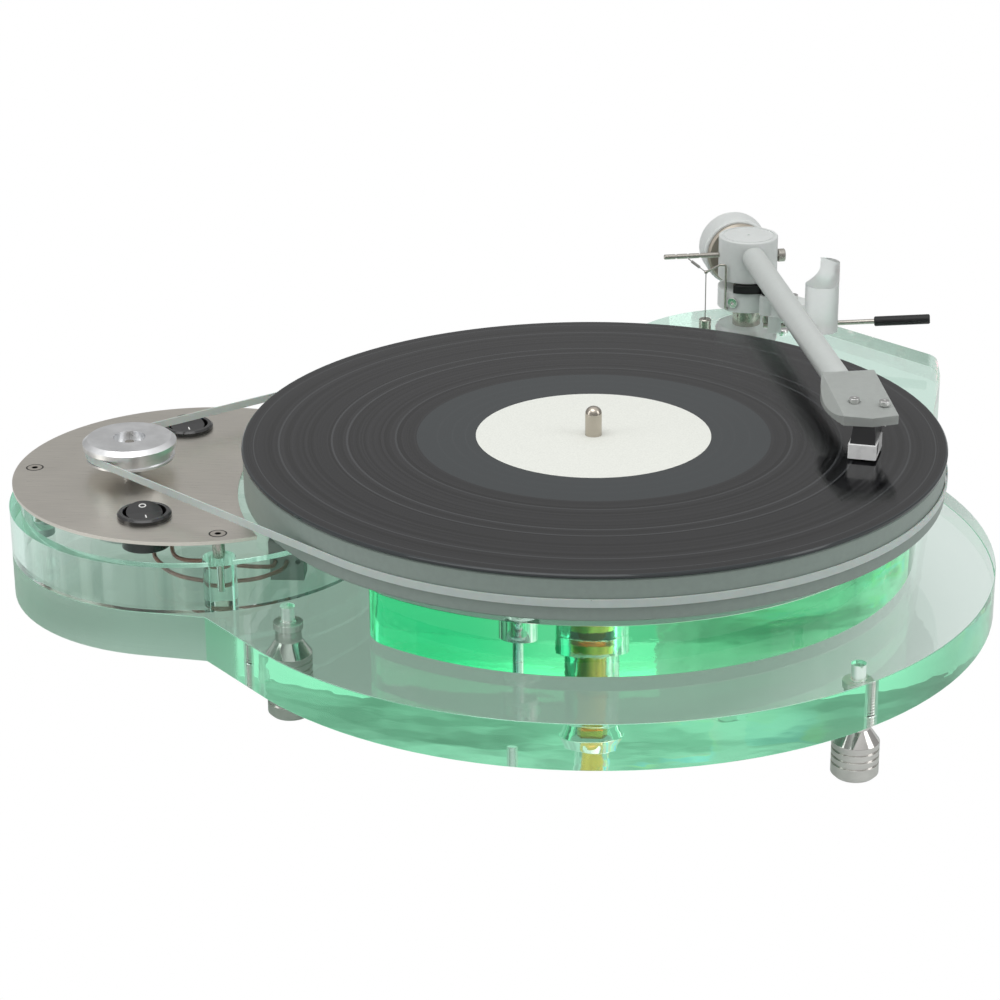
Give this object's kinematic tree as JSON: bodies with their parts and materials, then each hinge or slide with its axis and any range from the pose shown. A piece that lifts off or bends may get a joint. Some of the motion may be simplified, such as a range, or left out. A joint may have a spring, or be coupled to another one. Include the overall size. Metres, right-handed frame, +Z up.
{
  "type": "turntable",
  "caption": "Belt-drive turntable with two stacked clear boards, an outboard motor pod under a steel plate, a thick platter with a record and a unipivot tonearm.",
  "frame": {"origin": "on the surface the feet stand on, under the middle of the whole", "axes": "+Z up along the platter's axis; the motor pod lies on -X and the arm's pillar at the back right"},
  "size_m": [0.4282, 0.4332, 0.1276],
  "materials": {
    "clear_acrylic": "clear acrylic with a green tint, polished edges",
    "frosted_acrylic": "frosted acrylic, satin turned edge",
    "arm_acrylic": "frosted pale acrylic and satin paint",
    "brushed_plate": "brushed stainless steel",
    "polished_steel": "polished steel",
    "satin_steel": "satin turned steel",
    "bright_aluminium": "bright turned aluminium",
    "satin_aluminium": "bead-blasted aluminium",
    "brass": "turned brass",
    "black_plastic": "satin black plastic",
    "white_plastic": "white moulded plastic",
    "grey_plastic": "light grey moulded plastic",
    "vinyl": "black vinyl with fine grooves",
    "label_paper": "plain pale paper",
    "rubber": "pale translucent silicone rubber",
    "pad_rubber": "soft black rubber",
    "wire_skin": "thin plastic insulation",
    "thread": "fine nylon thread"
  },
  "bodies": {
    "base": {"lower_plinth": "clear_acrylic", "upper_plinth": "clear_acrylic", "decoupler_pads": "pad_rubber", "decoupler_screws": "polished_steel", "foot_nuts": "polished_steel", "bearing_housing": "brass", "bearing_nut": "brass", "drive_belt": "rubber", "pod_drum": "clear_acrylic", "power_inlet": "black_plastic", "top_plate": "brushed_plate", "plate_spacers": "satin_steel", "plate_screws": "polished_steel", "motor": "satin_aluminium", "terminal_block": "grey_plastic", "pod_wires": "wire_skin", "switch_front": "black_plastic", "switch_rear": "black_plastic", "arm_ring": "arm_acrylic", "arm_pillar": "satin_steel", "pivot_spike": "satin_steel", "arm_collar": "arm_acrylic", "clamp_screw": "polished_steel", "rest_screw": "polished_steel", "board_screw": "polished_steel", "arm_rest": "arm_acrylic", "guide_wire": "satin_steel", "side_thread": "thread", "side_line": "thread", "side_weight": "satin_steel"},
    "platter": {"platter": "frosted_acrylic", "bearing_shaft": "polished_steel", "record": "vinyl", "record_label": "label_paper"},
    "pulley": {"pulley": "bright_aluminium", "motor_shaft": "satin_steel", "pulley_screw": "satin_steel"},
    "rocker_front": {"rocker_front": "black_plastic"},
    "rocker_rear": {"rocker_rear": "black_plastic"},
    "foot_right": {"foot_0": "polished_steel"},
    "foot_left": {"foot_1": "polished_steel"},
    "foot_back": {"foot_2": "polished_steel"},
    "pivot_cup": {"pivot_cup": "brass"},
    "arm": {"arm_hub": "arm_acrylic", "arm_tube": "satin_aluminium", "headshell": "satin_aluminium", "cartridge_body": "black_plastic", "cartridge_shell": "white_plastic", "cartridge_screws": "polished_steel", "stylus": "satin_steel", "tail_rod": "satin_steel", "lever_rod": "satin_steel"},
    "counterweight": {"counterweight": "arm_acrylic", "counterweight_face": "brushed_plate"},
    "side_knob": {"side_knob": "satin_steel"},
    "lift_lever": {"lift_lever": "satin_steel", "lift_grip": "black_plastic"},
    "cue_lift": {"cue_bar": "black_plastic", "cue_pin": "satin_steel"}
  },
  "joints": [
    {"name": "platter_spin", "type": "hinge", "parent": "base", "child": "platter", "pos_m": [0.04055, -0.04303, 0.05], "axis": [0, 0, 1], "continuous": true},
    {"name": "pulley_spin", "type": "hinge", "parent": "base", "child": "pulley", "pos_m": [-0.16145, -0.04303, 0.08], "axis": [0, 0, 1], "continuous": true},
    {"name": "rocker_front_tip", "type": "hinge", "parent": "base", "child": "rocker_front", "pos_m": [-0.14565, -0.09503, 0.0789], "axis": [-0.9336, -0.3584, 0], "range_deg": [0, 16]},
    {"name": "rocker_rear_tip", "type": "hinge", "parent": "base", "child": "rocker_rear", "pos_m": [-0.14565, 0.00897, 0.0789], "axis": [-0.9336, -0.3584, 0], "range_deg": [0, 16]},
    {"name": "foot_right_turn", "type": "hinge", "parent": "base", "child": "foot_right", "pos_m": [0.15169, -0.15534, 0.02], "axis": [0, 0, 1], "range_deg": [-180, 180]},
    {"name": "foot_left_turn", "type": "hinge", "parent": "base", "child": "foot_left", "pos_m": [-0.08342, -0.11432, 0.02], "axis": [0, 0, 1], "range_deg": [-180, 180]},
    {"name": "foot_back_turn", "type": "hinge", "parent": "base", "child": "foot_back", "pos_m": [0.06013, 0.10568, 0.02], "axis": [0, 0, 1], "range_deg": [-180, 180]},
    {"name": "arm_swing", "type": "hinge", "parent": "base", "child": "pivot_cup", "pos_m": [0.10694, 0.16881, 0.1182], "axis": [0, 0, 1], "range_deg": [-16, 33], "deforming": ["side_thread"]},
    {"name": "arm_tilt", "type": "hinge", "parent": "pivot_cup", "child": "arm", "pos_m": [0.10694, 0.16881, 0.1182], "axis": [-0.9796, -0.2011, 0], "range_deg": [0, 3]},
    {"name": "lift_lever_turn", "type": "hinge", "parent": "base", "child": "lift_lever", "pos_m": [0.12072, 0.1535, 0.0856], "axis": [0.0523, 0.9986, 0], "range_deg": [0, 10]},
    {"name": "cue_slide", "type": "slide", "parent": "base", "child": "cue_lift", "axis": [0, 0, 1], "range_m": [0, 0.00078]},
    {"name": "weight_slide", "type": "slide", "parent": "arm", "child": "counterweight", "axis": [-0.2011, 0.9796, 0], "range_m": [-0.005, 0.008]},
    {"name": "knob_turn", "type": "hinge", "parent": "arm", "child": "side_knob", "pos_m": [0.12261, 0.17203, 0.116], "axis": [0.9796, 0.2011, 0], "range_deg": [-180, 180]}
  ],
  "couplings": [
    {"joint": "pulley_spin", "follows": "platter_spin", "ratio": 7.8594},
    {"joint": "arm_tilt", "follows": "lift_lever_turn", "ratio": 0.3},
    {"joint": "cue_slide", "follows": "lift_lever_turn", "m_per_rad": 0.0044}
  ]
}
